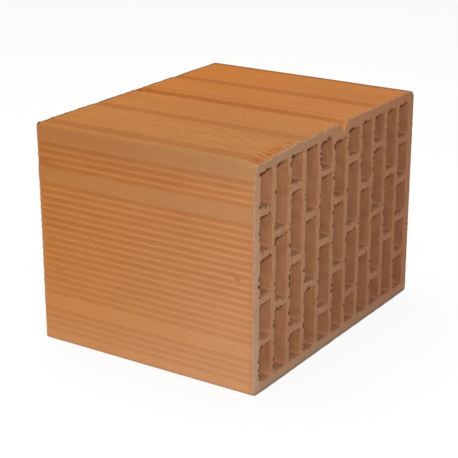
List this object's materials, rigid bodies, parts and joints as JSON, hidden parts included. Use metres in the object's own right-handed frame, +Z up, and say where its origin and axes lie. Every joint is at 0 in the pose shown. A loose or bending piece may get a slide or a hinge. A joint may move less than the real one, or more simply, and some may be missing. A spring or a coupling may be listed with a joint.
{
  "type": "hollow clay block",
  "caption": "Fired clay building block pierced from end to end by staggered rectangular cores, with plaster grooves along its sides and a V groove along its top.",
  "frame": {"origin": "centre of the underside of the block as it lies", "axes": "+X along the cores, out of one wire-cut face; +Y across the columns of cores, from the grooved side that the picture shows to the hidden one; +Z up, through the face with the V groove"},
  "size_m": [0.235, 0.3, 0.215],
  "materials": {
    "fired_clay": "matt fired terracotta, rough where cut by wire"
  },
  "bodies": {
    "root": {"clay_block": "fired_clay"}
  },
  "joints": []
}
